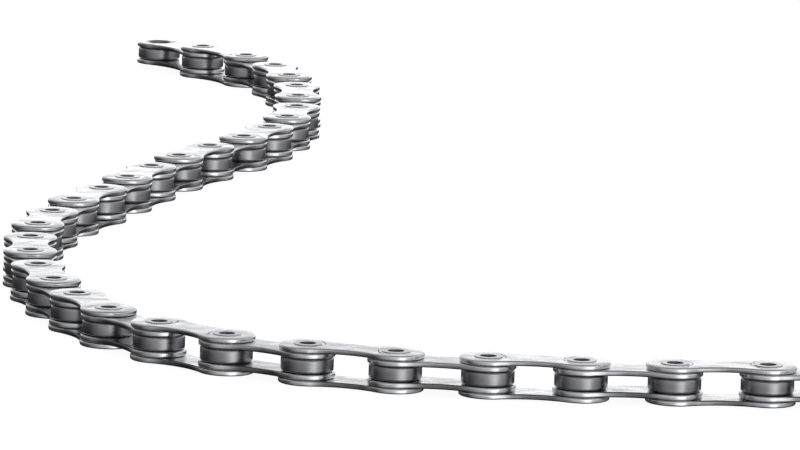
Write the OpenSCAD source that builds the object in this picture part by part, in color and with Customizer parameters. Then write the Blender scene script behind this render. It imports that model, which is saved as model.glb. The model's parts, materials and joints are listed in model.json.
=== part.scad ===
// A run of slim bicycle chain that lies on its side in an S, with an open inner link at each end.
// The frame's origin is the centre of the near end's open bore, half-way between the plates.
// +Z is along the pins, and the first link runs from the origin towards -X. Sizes are in millimetres.

/* [Chain] */
// Distance from each pin to the next
pitch = 12.7; // [12.2:0.1:14]

/* [Inner links] */
// Clear width between the two inner plates, where a sprocket tooth goes
inner_width = 2.18; // [1.9:0.02:2.6]
// Thickness of an inner plate
inner_plate_t = 0.78; // [0.6:0.02:1]
// Diameter of an inner plate's round ends
inner_eye_d = 7.75; // [7.5:0.05:8.6]
// Height of an inner plate at its waist
inner_waist_h = 5.4; // [5:0.1:6.6]
// Outside diameter of the collars that are drawn from the inner plates
collar_d = 5.1; // [4.7:0.05:5.6]
// Space left between the ends of two collars that face each other
collar_gap = 0.3; // [0.1:0.05:0.8]

/* [Outer links] */
// Thickness of an outer plate
outer_plate_t = 0.74; // [0.6:0.02:1]
// Diameter of an outer plate's round ends
outer_eye_d = 7.9; // [7.6:0.05:8.6]
// Height of an outer plate at its waist
outer_waist_h = 5.2; // [4.9:0.1:6.6]
// Side play between an outer plate and the inner plate beside it
link_play = 0.05; // [0.03:0.01:0.15]

/* [Plate edges] */
// Bevel along the outer edge of a plate
edge_bevel = 0.18; // [0.1:0.02:0.2]
// Bevel at the mouth of an inner plate's bore, where its collar is drawn in
mouth_bevel = 0.24; // [0.1:0.02:0.34]
// Angle at which a waist's curve meets a round end, small enough to look smooth
waist_meet_deg = 6; // [6:1:12]

/* [Pins] */
// Diameter of a pin
pin_d = 3.62; // [3.3:0.02:3.8]
// Diameter of the bore through a pin
pin_bore_d = 2.3; // [1.6:0.1:2.5]
// How far a pin's ends stand out of the outer plates
pin_proud = 0.1; // [0.05:0.01:0.2]
// How far a riveted end spreads beyond the pin all round
rivet_spread = 0.18; // [0.1:0.02:0.3]
// Depth of the countersink that the riveted end fills
rivet_depth = 0.28; // [0.15:0.01:0.4]
// Chamfer at the mouth of a pin's bore and on the rim of its riveted end
pin_chamfer = 0.08; // [0.04:0.02:0.14]
// Running clearance all round a pin in the inner plates' bores
pin_clearance = 0.05; // [0.03:0.01:0.1]
// Fine line left all round a pin where it is pressed into the outer plates
press_line = 0.02; // [0.01:0.01:0.03]

/* [Rollers] */
// Outside diameter of a roller
roller_d = 7.3; // [7.05:0.05:7.75]
// Side play between a roller and each inner plate
roller_play = 0.06; // [0.04:0.01:0.15]
// Running clearance all round the collars inside a roller
roller_clearance = 0.08; // [0.05:0.01:0.15]
// Chamfer at a roller's outer edges
roller_chamfer = 0.2; // [0.1:0.05:0.3]

/* [Hidden] */
$fn = 64;

// How the chain lies, from the near end on: [pins, bend at each of them in degrees, + is to the left]
lay = [
    [1, 4], [3, -4], [2, -10], [3, -13], [8, -5], [2, 1],
    [3, -3], [4, 6], [1, 2], [2, 5], [2, 13], [1, 1]
];
first_heading = 180;

bends = [for (run = lay) for (i = [1 : run[0]]) run[1]];
pin_count = len(bends);
inner_count = pin_count / 2 + 1;
outer_count = pin_count / 2;
// Rollers that have a node of their own, from the near end on: the other rollers are in their links' nodes
free_rollers = 26;

// Heading of link i, counted from 0, and the place of the pin or open bore that it starts at
function heading(i) = i == 0 ? first_heading : heading(i - 1) + bends[i - 1];
function place(i) = i == 0 ? [0, 0] : place(i - 1) + pitch * [cos(heading(i - 1)), sin(heading(i - 1))];

// Heights above the middle of the chain
inner_face_z = inner_width / 2;
inner_back_z = inner_face_z + inner_plate_t;
outer_face_z = inner_back_z + link_play;
outer_back_z = outer_face_z + outer_plate_t;
pin_end_z = outer_back_z + pin_proud;
collar_end_z = collar_gap / 2;

pin_r = pin_d / 2;
rivet_r = pin_r + rivet_spread;
bore_d = pin_d + 2 * pin_clearance;
roller_half_w = inner_face_z - roller_play;
roller_bore_r = collar_d / 2 + roller_clearance;
// Overlap that lets a cutter pass right through what it cuts
past = 1;

function two_digits(n) = n < 10 ? str("0", n) : str(n);
function inner_name(n) = str("inner_link_", two_digits(n));
function outer_name(n) = str("outer_link_", two_digits(n));
function roller_name(n) = str("roller_", two_digits(n));

// Radius of the waist's curve that meets both round ends at waist_meet_deg
function waist_curve_r(eye_r, waist_r) =
    (pitch * pitch / 4 + waist_r * waist_r - eye_r * eye_r) / (2 * (eye_r * cos(waist_meet_deg) - waist_r));

// Direction from the middle of a round end to the middle of the waist's curve, where the two arcs meet
function meet_heading(eye_r, waist_r) = atan2(waist_r + waist_curve_r(eye_r, waist_r), pitch / 2);

// Places what it holds at the start of link i, counted from 0, along that link's heading
module at_link(i) {
    translate(place(i)) rotate(heading(i)) children();
}

// Holds a shape at both pin places of a link that starts at the origin
module at_both_ends() {
    children();
    translate([pitch, 0]) rotate(180) children();
}

// Plate whose bevelled upper face is at height top_z: two round ends and a web, with a waist cut into it
module bevelled_plate(eye_d, waist_h, thickness, top_z) {
    eye_r = eye_d / 2;
    waist_r = waist_h / 2;
    low_z = top_z - thickness;
    bevel_z = top_z - edge_bevel;
    curve_r = waist_curve_r(eye_r, waist_r);
    // The web's corners lie where a round end and a waist's curve overlap, at every height of the bevel
    web_half_h = (eye_r - edge_bevel / 2) * sin(meet_heading(eye_r, waist_r));
    difference() {
        union() {
            at_both_ends()
                rotate_extrude()
                    polygon([
                        [0, low_z],
                        [eye_r, low_z],
                        [eye_r, bevel_z],
                        [eye_r - edge_bevel, top_z],
                        [0, top_z]
                    ]);
            translate([0, -web_half_h, low_z]) cube([pitch, 2 * web_half_h, thickness]);
        }
        for (side = [-1, 1])
            translate([pitch / 2, side * (waist_r + curve_r), 0])
                waist_cutter(curve_r, low_z - past, bevel_z, edge_bevel + past);
    }
}

// Round block that cuts a waist of radius curve_r from height low_z up, and widens by rise above bevel_z
module waist_cutter(curve_r, low_z, bevel_z, rise) {
    high_z = bevel_z + rise;
    rotate_extrude($fn = 256)
        polygon([[0, low_z], [curve_r, low_z], [curve_r, bevel_z], [curve_r + rise, high_z], [0, high_z]]);
}

// Upper inner plate, with the collars that reach down to the middle of the chain
module inner_plate() {
    color("gainsboro")
        difference() {
            union() {
                bevelled_plate(inner_eye_d, inner_waist_h, inner_plate_t, inner_back_z);
                at_both_ends()
                    translate([0, 0, collar_end_z])
                        cylinder(d = collar_d, h = inner_face_z - collar_end_z + inner_plate_t / 2);
            }
            at_both_ends() {
                cylinder(d = bore_d, h = inner_back_z + past);
                drawn_mouth(bore_d, inner_back_z);
            }
        }
}

// Cone that opens the drawn mouth of a collar on the plate's outer face, at height z
module drawn_mouth(hole_d, z) {
    translate([0, 0, z - mouth_bevel])
        cylinder(d1 = hole_d, d2 = hole_d + 4 * mouth_bevel, h = 2 * mouth_bevel);
}

// Upper outer plate, with the countersinks that the riveted pin ends fill
module outer_plate() {
    hole_r = pin_r + press_line;
    color("silver")
        difference() {
            bevelled_plate(outer_eye_d, outer_waist_h, outer_plate_t, outer_back_z);
            at_both_ends() {
                cylinder(r = hole_r, h = outer_back_z + past);
                translate([0, 0, outer_back_z - rivet_depth])
                    cylinder(r1 = hole_r, r2 = hole_r + 2 * rivet_spread, h = 2 * rivet_depth);
            }
        }
}

// Hollow pin, with both ends spread over the outer plates
module pin() {
    bore_r = pin_bore_d / 2;
    upper_half = [
        [pin_r, outer_back_z - rivet_depth],
        [rivet_r, outer_back_z],
        [rivet_r, pin_end_z - pin_chamfer],
        [rivet_r - pin_chamfer, pin_end_z],
        [bore_r + pin_chamfer, pin_end_z],
        [bore_r, pin_end_z - pin_chamfer]
    ];
    last = len(upper_half) - 1;
    lower_half = [for (i = [last : -1 : 0]) [upper_half[i][0], -upper_half[i][1]]];
    color("slategray") rotate_extrude() polygon(concat(upper_half, lower_half));
}

// Roller, chamfered outside, with a plain bore that turns on the collars
module roller() {
    outside_r = roller_d / 2;
    color("dimgray")
        rotate_extrude()
            polygon([
                [roller_bore_r, -roller_half_w],
                [outside_r - roller_chamfer, -roller_half_w],
                [outside_r, roller_chamfer - roller_half_w],
                [outside_r, roller_half_w - roller_chamfer],
                [outside_r - roller_chamfer, roller_half_w],
                [roller_bore_r, roller_half_w]
            ]);
}

// Holds a plate and its mirror image below the middle of the chain
module plate_pair() {
    children();
    mirror([0, 0, 1]) children();
}

// Inner link n, counted from 1: two plates, and those of its two rollers that have no node of their own
module inner_link(n) {
    start = 2 * n - 2;
    at_link(start) plate_pair() inner_plate();
    for (i = [start, start + 1]) if (i >= free_rollers) translate(place(i)) roller();
}

// Outer link n, counted from 1: two plates and the two pins that are riveted in them
module outer_link(n) {
    at_link(2 * n - 1) {
        plate_pair() outer_plate();
        at_both_ends() pin();
    }
}

for (n = [1 : inner_count]) inner_link(n);
for (n = [1 : outer_count]) outer_link(n);
for (n = [1 : free_rollers]) translate(place(n - 1)) roller();
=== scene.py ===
"""Run of slim bicycle chain that lies on its side in an S.

It has pressed plates, hollow riveted pins and turned rollers. Each kind of piece is modelled once, in
millimetres, and copies of it are set along the chain in metres.
"""

import json
from math import atan2, cos, degrees, hypot, pi, radians, sin

import bmesh
import bpy
from mathutils import Matrix, Vector

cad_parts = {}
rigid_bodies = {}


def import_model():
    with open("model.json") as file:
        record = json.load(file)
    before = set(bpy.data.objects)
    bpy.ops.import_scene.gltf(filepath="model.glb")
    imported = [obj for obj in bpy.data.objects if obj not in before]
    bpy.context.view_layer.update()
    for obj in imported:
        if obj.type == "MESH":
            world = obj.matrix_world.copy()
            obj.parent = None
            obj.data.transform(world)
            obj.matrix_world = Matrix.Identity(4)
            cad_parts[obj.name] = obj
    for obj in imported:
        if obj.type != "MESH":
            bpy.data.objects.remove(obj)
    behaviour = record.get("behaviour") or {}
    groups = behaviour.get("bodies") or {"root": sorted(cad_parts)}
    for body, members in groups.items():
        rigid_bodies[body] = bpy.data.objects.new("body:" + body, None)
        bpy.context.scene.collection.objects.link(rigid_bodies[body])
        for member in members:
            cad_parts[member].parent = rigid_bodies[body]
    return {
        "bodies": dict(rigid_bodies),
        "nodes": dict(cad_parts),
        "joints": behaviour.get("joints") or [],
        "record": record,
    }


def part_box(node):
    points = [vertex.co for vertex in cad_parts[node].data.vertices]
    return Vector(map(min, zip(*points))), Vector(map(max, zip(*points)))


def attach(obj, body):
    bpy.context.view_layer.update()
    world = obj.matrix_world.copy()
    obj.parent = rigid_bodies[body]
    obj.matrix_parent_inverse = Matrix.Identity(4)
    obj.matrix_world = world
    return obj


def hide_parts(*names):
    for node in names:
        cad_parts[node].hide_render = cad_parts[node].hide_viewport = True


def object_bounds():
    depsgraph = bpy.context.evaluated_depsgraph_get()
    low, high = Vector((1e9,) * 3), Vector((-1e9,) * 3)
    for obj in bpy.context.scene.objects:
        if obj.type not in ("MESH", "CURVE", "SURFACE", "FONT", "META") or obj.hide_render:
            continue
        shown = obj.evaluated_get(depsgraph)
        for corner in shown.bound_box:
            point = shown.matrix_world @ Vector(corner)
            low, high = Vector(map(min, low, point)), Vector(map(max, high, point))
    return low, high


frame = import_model()
cad_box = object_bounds()

MM = 0.001
UP = Vector((0, 0, 1))
# Vertices nearer to each other than this, in millimetres, are one
SAME_SPOT = 0.0005

# Where the open bores and the pins stand, from the near end of the chain to the far end
mounts = {mount["name"]: mount for mount in frame["record"]["mounts"]}
hinges = [joint for joint in frame["joints"] if joint["name"].startswith("hinge_")]
places = [Vector(mounts["near_end_bore"]["pos_m"])]
places += [Vector(hinge["pos_m"]) for hinge in hinges]
places += [Vector(mounts["far_end_bore"]["pos_m"])]

# Heights and radii that the frame gives, in millimetres: the first roller stands at the origin
HALF_PITCH = (places[1] - places[0]).length / MM / 2
INNER_BACK_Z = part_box("inner_link_01")[1].z / MM
PIN_END_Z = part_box("outer_link_01")[1].z / MM
ROLLER_HALF_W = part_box("roller_01")[1].z / MM
ROLLER_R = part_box("roller_01")[1].x / MM
BORE_R = mounts["near_end_bore"]["dims"]["r_mm"]

# Inner plates, in millimetres
INNER_PLATE_T = 0.78
INNER_EYE_R = 3.875
INNER_WAIST_R = 2.7
COLLAR_R = 2.55
COLLAR_END_Z = 0.15
MOUTH_ROUND = 0.26

# Outer plates, in millimetres
OUTER_PLATE_T = 0.74
OUTER_EYE_R = 3.95
OUTER_WAIST_R = 2.6
PRESS_LINE = 0.02

# Hollow pins, in millimetres
PIN_R = 1.81
PIN_BORE_R = 1.15
PIN_PROUD = 0.1
RIVET_R = 1.99
RIVET_DEPTH = 0.28
RIVET_ROUND = 0.08
PEEN_DEPTH = 0.02
PEEN_ROUND = 0.3
OUTER_BACK_Z = PIN_END_Z - PIN_PROUD

# Rollers, and the small rounds of all turned pieces, in millimetres
ROLLER_BORE_R = 2.63
ROLLER_ROUND = 0.36
TURNED_ROUND = 0.07

# Rolled edges of the plates, in millimetres
OUTSIDE_ROUND = 0.24
INSIDE_ROUND = 0.18

# How far from the middle of a plate the shade painted on its waist reaches, in millimetres: fully, and at
# all
SHADE_FULL = 2.8
SHADE_END = 4.8
# How far below the upper face of a link the shade painted on its waist is full, in millimetres
SHADE_DROP = 0.46

# Steps round the curves of a plate and round a turned piece
WAIST_STEPS = 10
EYE_STEPS = 24
HOLE_STEPS = 2 * EYE_STEPS
ROLLER_STEPS = 72

# Steps across a rounded edge
OUTSIDE_STEPS = 4
INSIDE_STEPS = 3
TURNED_STEPS = 4

# Level edges of a plate whose faces meet at more than this angle are its rim, and are rolled
RIM_ANGLE = radians(45)
# Edges whose faces meet at more than this angle look sharp
SHARP_ANGLE = radians(50)
# Faces whose normals rise less than this are the sides of a plate
SIDE_RISE = 0.5

# Places of the materials on a link
FACE, EDGE, PIN, BORE = range(4)


# Modelling

def arc(bm, start, centre, angle, steps):
    """Draws edges from a vertex round a centre, by so many degrees, and returns their last vertex"""
    spun = bmesh.ops.spin(bm, geom=[start], cent=centre, axis=UP, angle=radians(angle), steps=steps)
    return next(part for part in spun["geom_last"] if isinstance(part, bmesh.types.BMVert))


def everything(bm):
    return bm.verts[:] + bm.edges[:] + bm.faces[:]


def close_up(bm):
    """Joins the pieces of one solid where they meet and points its faces outwards"""
    bmesh.ops.remove_doubles(bm, verts=bm.verts[:], dist=SAME_SPOT)
    bmesh.ops.recalc_face_normals(bm, faces=bm.faces[:])
    bm.normal_update()


def flat_plate(bm, eye_r, waist_r, hole_r, z):
    """Flat sheet of a plate at height z: two round ends with holes, joined at a hollow waist"""
    eye = Vector((HALF_PITCH, 0, z))
    curve_r = (HALF_PITCH ** 2 + waist_r ** 2 - eye_r ** 2) / (2 * (eye_r - waist_r))
    curve = Vector((0, waist_r + curve_r, z))
    lean = degrees(atan2(eye.x, curve.y))

    shoulder = arc(bm, bm.verts.new((0, waist_r, z)), curve, lean, WAIST_STEPS)
    arc(bm, shoulder, eye, -90 - lean, EYE_STEPS)

    hole_side = bm.verts.new((HALF_PITCH - hole_r, 0, z))
    arc(bm, hole_side, eye, -180, EYE_STEPS)
    middle_line = bm.edges.new((bm.verts.new((0, 0, z)), hole_side))
    bmesh.ops.subdivide_edges(bm, edges=[middle_line], cuts=WAIST_STEPS - 1)

    bmesh.ops.bridge_loops(bm, edges=bm.edges[:])
    for axis in "YX":
        bmesh.ops.mirror(bm, geom=everything(bm), matrix=Matrix(), merge_dist=SAME_SPOT, axis=axis)
    close_up(bm)


def thicken(bm, thickness, hole_r):
    """Gives a flat plate its thickness upwards, leaves the walls of its holes open, and marks its sides"""
    raised = bmesh.ops.extrude_face_region(bm, geom=bm.faces[:])["geom"]
    raised_verts = [part for part in raised if isinstance(part, bmesh.types.BMVert)]
    bmesh.ops.translate(bm, vec=UP * thickness, verts=raised_verts)

    def on_hole(vert):
        return abs(hypot(abs(vert.co.x) - HALF_PITCH, vert.co.y) - hole_r) < SAME_SPOT

    close_up(bm)
    walls = [face for face in bm.faces if all(on_hole(vert) for vert in face.verts)]
    bmesh.ops.delete(bm, geom=walls, context="FACES")
    for face in bm.faces:
        if abs(face.normal.z) < SIDE_RISE:
            face.material_index = EDGE


def roll_edge(bm, z, width, segments):
    """Rounds the outside edge of a plate at height z"""
    bm.normal_update()
    rim = []
    for edge in bm.edges:
        level = all(abs(vert.co.z - z) < SAME_SPOT for vert in edge.verts)
        corner = len(edge.link_faces) == 2 and edge.calc_face_angle() > RIM_ANGLE
        if level and corner:
            rim.append(edge)
    rolled = bmesh.ops.bevel(
        bm, geom=rim, offset=width, segments=segments, profile=0.5, affect="EDGES", material=-1
    )
    for face in rolled["faces"]:
        face.material_index = EDGE


def mark_waist(bm, back_z):
    """Marks where shade is painted on the waist: 1 low down, 0 at the round ends and at the upper face"""
    waist = bm.verts.layers.float.new("waist")
    for vert in bm.verts:
        inwards = (SHADE_END - abs(vert.co.x)) / (SHADE_END - SHADE_FULL)
        down = (back_z - vert.co.z) / SHADE_DROP
        vert[waist] = min(max(inwards, 0), 1) * min(max(down, 0), 1)


def turn(bm, outline, rounds, steps, centre_x=0, material=FACE):
    """Turns an outline of (radius, height) points about an upright axis, with some corners rounded first"""
    before = set(bm.faces)
    verts = [bm.verts.new((centre_x + radius, 0, height)) for radius, height in outline]
    for pair in zip(verts, verts[1:]):
        bm.edges.new(pair)
    for corner, width in rounds.items():
        bmesh.ops.bevel(
            bm,
            geom=[verts[corner]],
            offset=width,
            segments=TURNED_STEPS,
            profile=0.5,
            affect="VERTICES",
            material=-1,
        )
    wires = [edge for edge in bm.edges if edge.is_wire]
    wire_verts = list({vert for edge in wires for vert in edge.verts})
    bmesh.ops.spin(
        bm,
        geom=wires + wire_verts,
        cent=(centre_x, 0, 0),
        axis=UP,
        angle=2 * pi,
        steps=steps,
        use_merge=True,
    )
    for face in set(bm.faces) - before:
        face.material_index = material


def add_twin_below(bm):
    """Adds the mirror image below the middle of the chain"""
    bmesh.ops.mirror(bm, geom=everything(bm), matrix=Matrix(), merge_dist=SAME_SPOT, axis="Z")
    close_up(bm)


def to_mesh(bm, name, materials):
    """Makes a mesh that looks smooth between its sharp lines, and gives it its materials"""
    for face in bm.faces:
        face.smooth = True
    mesh = bpy.data.meshes.new(name)
    bm.to_mesh(mesh)
    bm.free()
    mesh.set_sharp_from_angle(angle=SHARP_ANGLE)
    for material in materials:
        mesh.materials.append(material)
    return mesh


def inner_plates():
    """Two inner plates, each with the collars that are drawn from it towards the other"""
    bm = bmesh.new()
    low_z = INNER_BACK_Z - INNER_PLATE_T
    flat_plate(bm, INNER_EYE_R, INNER_WAIST_R, COLLAR_R, low_z)
    thicken(bm, INNER_PLATE_T, COLLAR_R)
    roll_edge(bm, INNER_BACK_Z, OUTSIDE_ROUND, OUTSIDE_STEPS)
    roll_edge(bm, low_z, INSIDE_ROUND, INSIDE_STEPS)
    collar = [
        (COLLAR_R, INNER_BACK_Z),
        (BORE_R, INNER_BACK_Z),
        (BORE_R, COLLAR_END_Z),
        (COLLAR_R, COLLAR_END_Z),
        (COLLAR_R, low_z),
    ]
    for end in (-HALF_PITCH, HALF_PITCH):
        turn(bm, collar, {1: MOUTH_ROUND, 2: TURNED_ROUND, 3: TURNED_ROUND}, HOLE_STEPS, end, PIN)
    close_up(bm)
    add_twin_below(bm)
    # Marks where shade is painted on the waist of the plates' edges
    mark_waist(bm, INNER_BACK_Z)
    return to_mesh(bm, "inner_plates", [satin_plate, burnished_edge, oiled_collar])


def add_pin(bm, centre_x):
    """Hollow pin whose ends are peened over the outer plates"""
    ring_r = (RIVET_R + PIN_BORE_R) / 2
    outline = [
        (PIN_R, 0),
        (PIN_R, OUTER_BACK_Z - RIVET_DEPTH),
        (RIVET_R, OUTER_BACK_Z),
        (RIVET_R, PIN_END_Z),
        (ring_r, PIN_END_Z - PEEN_DEPTH),
        (PIN_BORE_R, PIN_END_Z),
        (PIN_BORE_R, OUTER_BACK_Z),
    ]
    turn(bm, outline, {3: RIVET_ROUND, 4: PEEN_ROUND, 5: TURNED_ROUND}, HOLE_STEPS, centre_x, PIN)
    bore = [(PIN_BORE_R, OUTER_BACK_Z), (PIN_BORE_R, 0)]
    turn(bm, bore, {}, HOLE_STEPS, centre_x, BORE)


def outer_plates_and_pins():
    """Two outer plates with countersunk holes, and the two pins that are riveted in them"""
    bm = bmesh.new()
    low_z = OUTER_BACK_Z - OUTER_PLATE_T
    hole_r = PIN_R + PRESS_LINE
    mouth_r = RIVET_R + PRESS_LINE
    sheet_hole_r = mouth_r + 2 * OUTSIDE_ROUND
    flat_plate(bm, OUTER_EYE_R, OUTER_WAIST_R, sheet_hole_r, low_z)
    thicken(bm, OUTER_PLATE_T, sheet_hole_r)
    roll_edge(bm, OUTER_BACK_Z, OUTSIDE_ROUND, OUTSIDE_STEPS)
    roll_edge(bm, low_z, INSIDE_ROUND, INSIDE_STEPS)
    countersink = [
        (sheet_hole_r, OUTER_BACK_Z),
        (mouth_r, OUTER_BACK_Z),
        (hole_r, OUTER_BACK_Z - RIVET_DEPTH),
        (hole_r, low_z),
        (sheet_hole_r, low_z),
    ]
    for end in (-HALF_PITCH, HALF_PITCH):
        turn(bm, countersink, {1: TURNED_ROUND / 2}, HOLE_STEPS, end, FACE)
        close_up(bm)
        add_pin(bm, end)
    close_up(bm)
    add_twin_below(bm)
    # Marks where shade is painted on the waist of the plates' edges
    mark_waist(bm, OUTER_BACK_Z)
    return to_mesh(bm, "outer_plates", [bright_plate, burnished_edge, riveted_pin, dark_bore])


def roller():
    """Turned roller with rounded edges and a plain bore"""
    bm = bmesh.new()
    outline = [
        (ROLLER_R, 0),
        (ROLLER_R, ROLLER_HALF_W),
        (ROLLER_BORE_R, ROLLER_HALF_W),
        (ROLLER_BORE_R, 0),
    ]
    turn(bm, outline, {1: ROLLER_ROUND, 2: TURNED_ROUND}, ROLLER_STEPS)
    add_twin_below(bm)
    return to_mesh(bm, "roller", [turned_roller])


# Finishes

# The range in which most of a noise lies, and that in which a hairline begins to show and shows fully
NOISE_LOW = 0.35
NOISE_HIGH = 0.65
HAIRLINE_LOW = 0.58
HAIRLINE_HIGH = 0.72

# How hairlines are drawn out along their length, and the lines of a lathe round the axis of a piece
HAIRLINE_STRETCH = (0.06, 1, 1)
LATHE_STRETCH = (0.02, 0.02, 1)

# How far each pattern takes a finish from its dark colour to its light one
CLOUD_SHARE = 0.6
MOTTLE_SHARE = 0.4
SCUFF_SHARE = 0.25
LATHE_SHARE = 0.4
FILM_SHARE = 0.6

# How much less rough steel is where it is scuffed
SCUFF_GLOSS = 0.06


def new_finish(name):
    """New material, with its nodes and its shader"""
    material = bpy.data.materials.new(name)
    material.use_nodes = True
    return material, material.node_tree, material.node_tree.nodes["Principled BSDF"]


def coordinates(tree, stretch=(1, 1, 1), turn_deg=0):
    """Object coordinates, turned about Z and then stretched: a larger figure packs a pattern closer"""
    source = tree.nodes.new("ShaderNodeTexCoord")
    mapping = tree.nodes.new("ShaderNodeMapping")
    mapping.inputs["Rotation"].default_value = (0, 0, radians(turn_deg))
    mapping.inputs["Scale"].default_value = stretch
    tree.links.new(source.outputs["Object"], mapping.inputs["Vector"])
    return mapping.outputs["Vector"]


def blots(tree, size, detail, **where):
    """Noise in blots of about so many millimetres"""
    noise = tree.nodes.new("ShaderNodeTexNoise")
    noise.inputs["Scale"].default_value = 1 / (size * MM)
    noise.inputs["Detail"].default_value = detail
    tree.links.new(coordinates(tree, **where), noise.inputs["Vector"])
    return noise.outputs["Fac"]


def between(tree, value, low, high, start=NOISE_LOW, end=NOISE_HIGH):
    """Takes a value's range from start to end, by default most of a noise, to a range from low to high"""
    node = tree.nodes.new("ShaderNodeMapRange")
    node.inputs["From Min"].default_value = start
    node.inputs["From Max"].default_value = end
    node.inputs["To Min"].default_value = low
    node.inputs["To Max"].default_value = high
    tree.links.new(value, node.inputs["Value"])
    return node.outputs["Result"]


def combine(tree, operation, first, second):
    """Joins two values by a sum, a product or the like"""
    node = tree.nodes.new("ShaderNodeMath")
    node.operation = operation
    tree.links.new(first, node.inputs[0])
    tree.links.new(second, node.inputs[1])
    return node.outputs["Value"]


def tint(tree, value, dark, light):
    """Colours that run from dark to light as a value goes from 0 to 1"""
    ramp = tree.nodes.new("ShaderNodeValToRGB")
    for stop, colour in zip(ramp.color_ramp.elements, (dark, light)):
        stop.color = (*colour, 1)
    tree.links.new(value, ramp.inputs["Fac"])
    return ramp.outputs["Color"]


def press_in(tree, shader, height, strength, depth):
    """Raises and sinks the surface by a height map whose full range is so many millimetres deep"""
    bump = tree.nodes.new("ShaderNodeBump")
    bump.inputs["Strength"].default_value = strength
    bump.inputs["Distance"].default_value = depth * MM
    tree.links.new(height, bump.inputs["Height"])
    for link in shader.inputs["Normal"].links:
        tree.links.new(link.from_socket, bump.inputs["Normal"])
    tree.links.new(bump.outputs["Normal"], shader.inputs["Normal"])


def tumbled_steel(name, dark, light, smooth, rough, dents=0.02):
    """Plated steel that was tumbled in a barrel: clouds, mottling, stray hairlines, slow waves and dents"""
    material, tree, shader = new_finish(name)
    clouds = blots(tree, size=6, detail=4)
    mottle = blots(tree, size=1.4, detail=1)
    waves = blots(tree, size=3.5, detail=1)
    hairline_a = blots(tree, size=0.35, detail=2, stretch=HAIRLINE_STRETCH, turn_deg=28)
    hairline_b = blots(tree, size=0.3, detail=2, stretch=HAIRLINE_STRETCH, turn_deg=-47)
    hairlines = combine(tree, "MAXIMUM", hairline_a, hairline_b)
    scuffs = between(tree, hairlines, 0, 1, HAIRLINE_LOW, HAIRLINE_HIGH)

    cloudy = between(tree, clouds, 0, CLOUD_SHARE)
    mottled = between(tree, mottle, 0, MOTTLE_SHARE)
    wear = combine(tree, "ADD", cloudy, mottled)
    shade = combine(tree, "ADD", wear, between(tree, scuffs, 0, SCUFF_SHARE, 0, 1))
    tree.links.new(tint(tree, shade, dark, light), shader.inputs["Base Color"])

    worn = between(tree, wear, smooth, rough, 0, 1)
    rubbed = between(tree, scuffs, 0, SCUFF_GLOSS, 0, 1)
    tree.links.new(combine(tree, "SUBTRACT", worn, rubbed), shader.inputs["Roughness"])
    shader.inputs["Metallic"].default_value = 1
    press_in(tree, shader, waves, strength=1, depth=0.26)
    press_in(tree, shader, mottle, strength=0.1, depth=dents)
    return material


def dull_the_waist(material, painted_shade, depth):
    """Paints shade over the waist of a finish in a dark colour, so deep at its middle and none at the round
    ends
    """
    tree = material.node_tree
    colour = tree.nodes["Principled BSDF"].inputs["Base Color"]
    waist = tree.nodes.new("ShaderNodeAttribute")
    waist.attribute_name = "waist"
    oil_film_and_shade = tree.nodes.new("ShaderNodeMixRGB")
    oil_film_and_shade.inputs["Color2"].default_value = (*painted_shade, 1)
    tree.links.new(between(tree, waist.outputs["Fac"], 0, depth, 0, 1), oil_film_and_shade.inputs["Fac"])
    tree.links.new(colour.links[0].from_socket, oil_film_and_shade.inputs["Color1"])
    tree.links.new(oil_film_and_shade.outputs["Color"], colour)


def turned_steel(name, dark, light, smooth, rough):
    """Steel with the fine lines of a lathe round its axis, under a thin film of oil"""
    material, tree, shader = new_finish(name)
    lines = blots(tree, size=0.16, detail=2, stretch=LATHE_STRETCH)
    oil_film_and_shade = blots(tree, size=2.4, detail=3)
    lined = between(tree, lines, 0, LATHE_SHARE)
    filmed = between(tree, oil_film_and_shade, 0, FILM_SHARE)
    wear = combine(tree, "ADD", lined, filmed)
    tree.links.new(tint(tree, wear, dark, light), shader.inputs["Base Color"])
    tree.links.new(between(tree, wear, smooth, rough, 0, 1), shader.inputs["Roughness"])
    shader.inputs["Metallic"].default_value = 1
    shader.inputs["Coat Weight"].default_value = 0.12
    shader.inputs["Coat Roughness"].default_value = 0.25
    press_in(tree, shader, lines, strength=0.2, depth=0.02)
    return material


bright_plate = tumbled_steel(
    "bright_plate", dark=(0.66, 0.67, 0.69), light=(0.82, 0.82, 0.84), smooth=0.20, rough=0.30
)
satin_plate = tumbled_steel(
    "satin_plate", dark=(0.64, 0.65, 0.67), light=(0.80, 0.80, 0.82), smooth=0.22, rough=0.32
)
burnished_edge = tumbled_steel(
    "burnished_edge", dark=(0.68, 0.69, 0.71), light=(0.84, 0.84, 0.86), smooth=0.19, rough=0.28, dents=0.01
)
# Painted shade: the waist of the plates' edges is darkened, most low down and on the lower plate
dull_the_waist(burnished_edge, painted_shade=(0.12, 0.12, 0.13), depth=0.85)
oiled_collar = turned_steel(
    "oiled_collar", dark=(0.24, 0.24, 0.26), light=(0.36, 0.36, 0.38), smooth=0.28, rough=0.40
)
riveted_pin = turned_steel(
    "riveted_pin", dark=(0.48, 0.48, 0.50), light=(0.64, 0.64, 0.67), smooth=0.22, rough=0.32
)
dark_bore = turned_steel(
    "dark_bore", dark=(0.26, 0.26, 0.28), light=(0.38, 0.38, 0.40), smooth=0.36, rough=0.48
)
turned_roller = turned_steel(
    "turned_roller", dark=(0.31, 0.31, 0.33), light=(0.42, 0.42, 0.44), smooth=0.24, rough=0.34
)


# The chain

def place_link(start, end):
    """Takes millimetres round the middle of a link along X to that link's place in metres"""
    along = end - start
    heading = Matrix.Rotation(atan2(along.y, along.x), 4, "Z")
    return Matrix.Translation((start + end) / 2) @ heading @ Matrix.Scale(MM, 4)


def set_piece(name, mesh, place, body):
    """Sets a copy of a mesh in the chain, on a body that it moves with"""
    piece = bpy.data.objects.new(name, mesh.copy())
    piece.data.transform(place)
    bpy.context.scene.collection.objects.link(piece)
    piece.modifiers.new("flat_faces", "WEIGHTED_NORMAL").keep_sharp = True
    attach(piece, body)
    return piece


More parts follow.
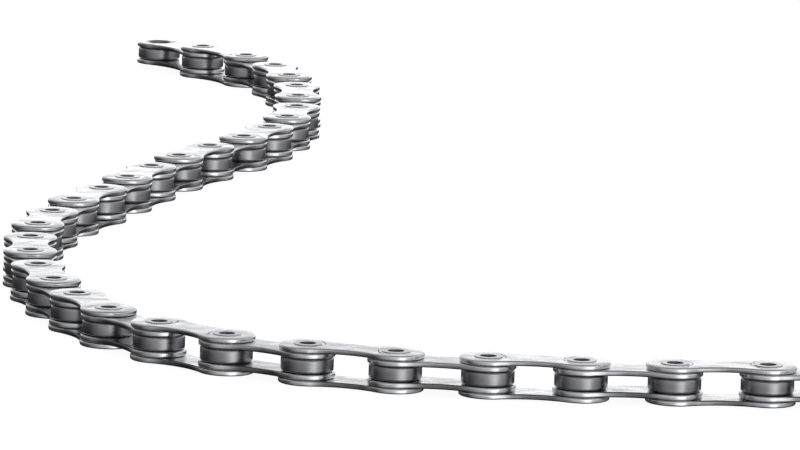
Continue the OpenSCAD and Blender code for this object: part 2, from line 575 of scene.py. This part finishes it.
inner_mesh = inner_plates()
outer_mesh = outer_plates_and_pins()
roller_mesh = roller()
for number, link_end in enumerate(range(1, len(places), 2), 1):
    link = f"inner_link_{number:02d}"
    place = place_link(places[link_end - 1], places[link_end])
    plates = set_piece(f"inner_plates_{number:02d}", inner_mesh, place, link)
    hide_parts(link)
for number, link_end in enumerate(range(2, len(places), 2), 1):
    link = f"outer_link_{number:02d}"
    place = place_link(places[link_end - 1], places[link_end])
    plates = set_piece(f"outer_plates_{number:02d}", outer_mesh, place, link)
    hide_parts(link)
for number, spot in enumerate(places, 1):
    node = f"roller_{number:02d}"
    # A roller with no node of its own rides on its inner link
    body = node if node in frame["bodies"] else f"inner_link_{(number + 1) // 2:02d}"
    place = Matrix.Translation(spot) @ Matrix.Scale(MM, 4)
    turned = set_piece(f"turned_roller_{number:02d}", roller_mesh, place, body)
    if node in frame["nodes"]:
        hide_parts(node)


# Studio

# Floor, in metres, and how bright its paper is
FLOOR_HALF = 4
FLOOR_GREY = 0.35
FLOOR_GLOW = 0.91

# How far back the soft lights stand, in metres, and the way that they face
SOFTBOX_Y = 0.62
TO_FRONT = Vector((0, -1, 0))

# Greys of the walls straight down, straight up, and at heights between those, counted from 0 to 1
DOWN_GREY = 0.03
UP_GREY = 0.20
WALL_GREYS = ((0.40, 0.04), (0.5, 0.10), (0.57, 0.60), (0.73, 0.60), (0.84, 0.24))

# Panels on the walls, each with its brightness last. Four figures say where a panel begins, is full, wanes
# and ends. Their heights run from -1, straight down, to 1, straight up.
LOW_HEIGHTS = (-0.7, -0.5, 0.1, 0.25)
# At the back and above it: the depths at which a panel begins and is full, and its heights
BACK_PANELS = (
    ((0.1, 0.7), (-0.12, 0, 0.4, 0.52), 0.15),
    ((-0.1, 0.5), (0.5, 0.7, 0.9, 1), 0.34),
)
# At the front, at the right, and a dark card at the left: bearings in degrees, from 0 at the camera's side
# and more to the right, and heights
SIDE_PANELS = (
    ((-85, 10, 40, 140), LOW_HEIGHTS, 0.55),
    ((2, 30, 40, 48), LOW_HEIGHTS, 1.0),
    ((-160, -130, -70, -20), (0.04, 0.14, 0.46, 0.6), -0.42),
)


def grey(value):
    return (value, value, value, 1)


floor_bm = bmesh.new()
bmesh.ops.create_grid(floor_bm, x_segments=1, y_segments=1, size=FLOOR_HALF)
bmesh.ops.translate(floor_bm, vec=(0, 0, cad_box[0].z), verts=floor_bm.verts)
floor_mesh = bpy.data.meshes.new("floor")
floor_bm.to_mesh(floor_mesh)
floor_bm.free()
floor = bpy.data.objects.new("floor", floor_mesh)
floor.visible_glossy = False
floor.visible_shadow = False
bpy.context.scene.collection.objects.link(floor)

floor_paper, _, floor_shader = new_finish("floor_paper")
floor_shader.inputs["Base Color"].default_value = grey(FLOOR_GREY)
floor_shader.inputs["Roughness"].default_value = 0.9
floor_shader.inputs["Specular IOR Level"].default_value = 0
floor_shader.inputs["Emission Color"].default_value = grey(1)
floor_shader.inputs["Emission Strength"].default_value = FLOOR_GLOW
floor_mesh.materials.append(floor_paper)


def softbox(name, width, height, x, z, power):
    """Rectangular soft light that stands at the back and faces the front, in metres and watts"""
    light = bpy.data.lights.new(name, "AREA")
    light.shape = "RECTANGLE"
    light.size = width
    light.size_y = height
    light.energy = power
    lamp = bpy.data.objects.new(name, light)
    lamp.location = (x, SOFTBOX_Y, z)
    lamp.rotation_euler = TO_FRONT.to_track_quat("-Z", "Y").to_euler()
    lamp.visible_camera = False
    bpy.context.scene.collection.objects.link(lamp)


softbox("back_panel", width=1.0, height=0.075, x=-0.06, z=0.036, power=0.25)
softbox("right_panel", width=0.16, height=0.035, x=0.025, z=0.108, power=0.018)
softbox("left_panel", width=0.097, height=0.035, x=-0.162, z=0.088, power=0.009)


def window(tree, value, begins, full, wanes, ends):
    """1 from where a value is full to where it wanes, and 0 before it begins and after it ends"""
    rise = between(tree, value, 0, 1, begins, full)
    fall = between(tree, value, 1, 0, wanes, ends)
    return combine(tree, "MULTIPLY", rise, fall)


def studio_walls():
    """Grey walls with a bright band round them, soft panels, and a dark card at the left"""
    world = bpy.data.worlds.new("studio_walls")
    world.use_nodes = True
    tree = world.node_tree
    direction = tree.nodes.new("ShaderNodeTexCoord")
    split = tree.nodes.new("ShaderNodeSeparateXYZ")
    tree.links.new(direction.outputs["Generated"], split.inputs["Vector"])
    side, depth, height = split.outputs
    to_camera = between(tree, depth, 1, -1, -1, 1)
    bearing = combine(tree, "ARCTAN2", side, to_camera)

    ramp = tree.nodes.new("ShaderNodeValToRGB")
    tree.links.new(between(tree, height, 0, 1, -1, 1), ramp.inputs["Fac"])
    stops = ramp.color_ramp.elements
    stops[0].color = grey(DOWN_GREY)
    stops[1].color = grey(UP_GREY)
    for spot, shade in WALL_GREYS:
        stops.new(spot).color = grey(shade)

    def add_panel(light, across, heights, brightness):
        panel = combine(tree, "MULTIPLY", across, window(tree, height, *heights))
        return combine(tree, "ADD", light, between(tree, panel, 0, brightness, 0, 1))

    light = ramp.outputs["Color"]
    for depths, heights, brightness in BACK_PANELS:
        across = between(tree, depth, 0, 1, *depths)
        light = add_panel(light, across, heights, brightness)
    for bearings, heights, brightness in SIDE_PANELS:
        across = window(tree, bearing, *map(radians, bearings))
        light = add_panel(light, across, heights, brightness)
    tree.links.new(light, tree.nodes["Background"].inputs["Color"])
    return world


bpy.context.scene.world = studio_walls()

# Camera, from the picture's own frame: pixels, millimetres on the sensor, and metres
PICTURE_W = 800
FOCAL_PX = 7613
SENSOR_W = 36
CAMERA_ELEVATION = radians(8.87)
CAMERA_ROLL = radians(1.79)
CAMERA_DISTANCE = 1.146
CAMERA_AIM = Vector((-0.0633, 0.1129, 0.0027))

camera_data = bpy.data.cameras.new("camera")
camera_data.sensor_width = SENSOR_W
camera_data.lens = FOCAL_PX / PICTURE_W * SENSOR_W
camera = bpy.data.objects.new("camera", camera_data)
camera_back = Vector((0, -cos(CAMERA_ELEVATION), sin(CAMERA_ELEVATION)))
upright = Matrix.Rotation(radians(90) - CAMERA_ELEVATION, 4, "X") @ Matrix.Rotation(CAMERA_ROLL, 4, "Z")
camera.matrix_world = Matrix.Translation(CAMERA_AIM + CAMERA_DISTANCE * camera_back) @ upright
bpy.context.scene.collection.objects.link(camera)
bpy.context.scene.camera = camera
bpy.context.scene.view_settings.view_transform = "Standard"
